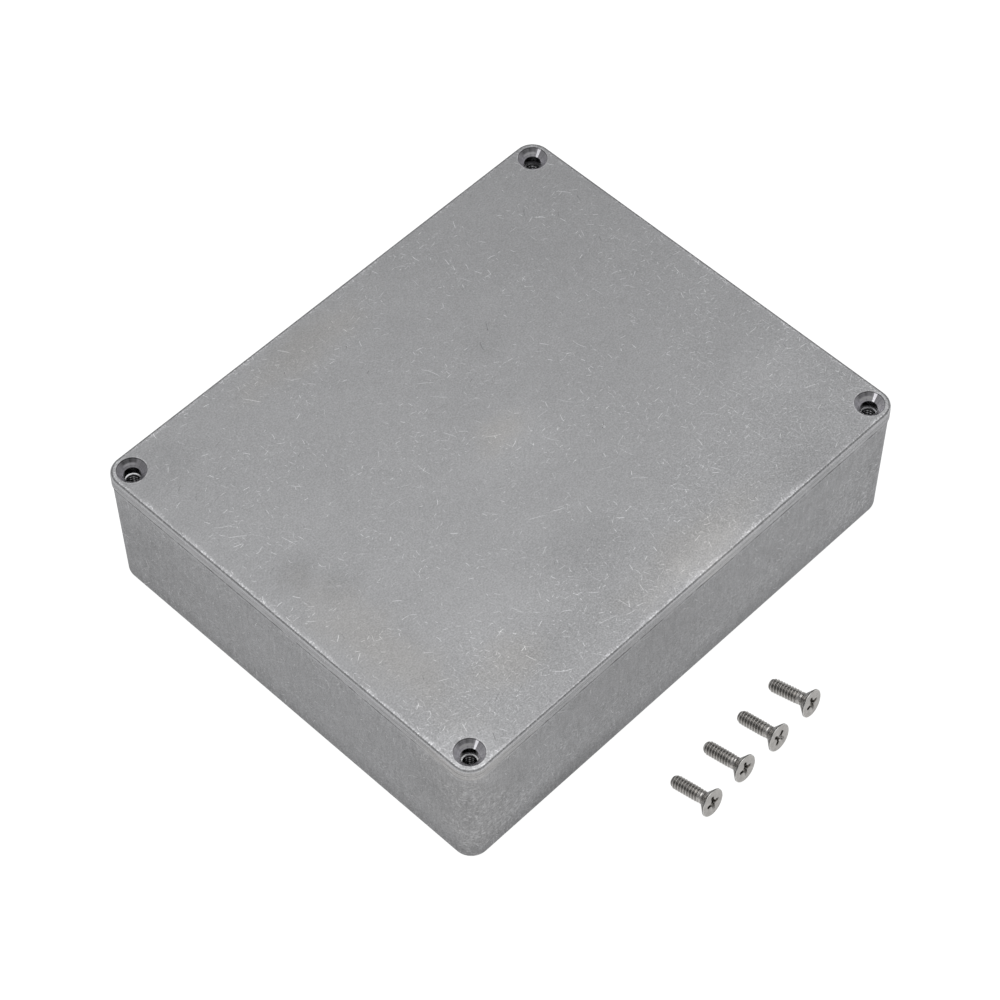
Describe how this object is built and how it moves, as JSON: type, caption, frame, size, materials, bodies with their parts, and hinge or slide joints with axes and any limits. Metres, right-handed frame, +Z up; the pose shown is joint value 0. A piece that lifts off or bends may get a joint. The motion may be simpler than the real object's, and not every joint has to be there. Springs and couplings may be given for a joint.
{
  "type": "die cast aluminium box",
  "caption": "Shallow rectangular die cast aluminium enclosure, with a flat screw-down lid lapped into its open base and the countersunk lid screws lying beside it.",
  "frame": {"origin": "middle of the base's underside, on the surface that the box stands on", "axes": "+Z up through the lid, +X along the box's long side, +Y along its short side away from the loose screws"},
  "size_m": [0.1456, 0.1514, 0.0393],
  "materials": {
    "cast_aluminium": "bare casting, tumbled to a mottled satin grey with fine curved scratches",
    "screw_steel": "bright plain stainless steel"
  },
  "bodies": {
    "root": {"box_base": "cast_aluminium", "box_lid": "cast_aluminium", "lid_screw_1": "screw_steel", "lid_screw_2": "screw_steel", "lid_screw_3": "screw_steel", "lid_screw_4": "screw_steel"}
  },
  "joints": []
}
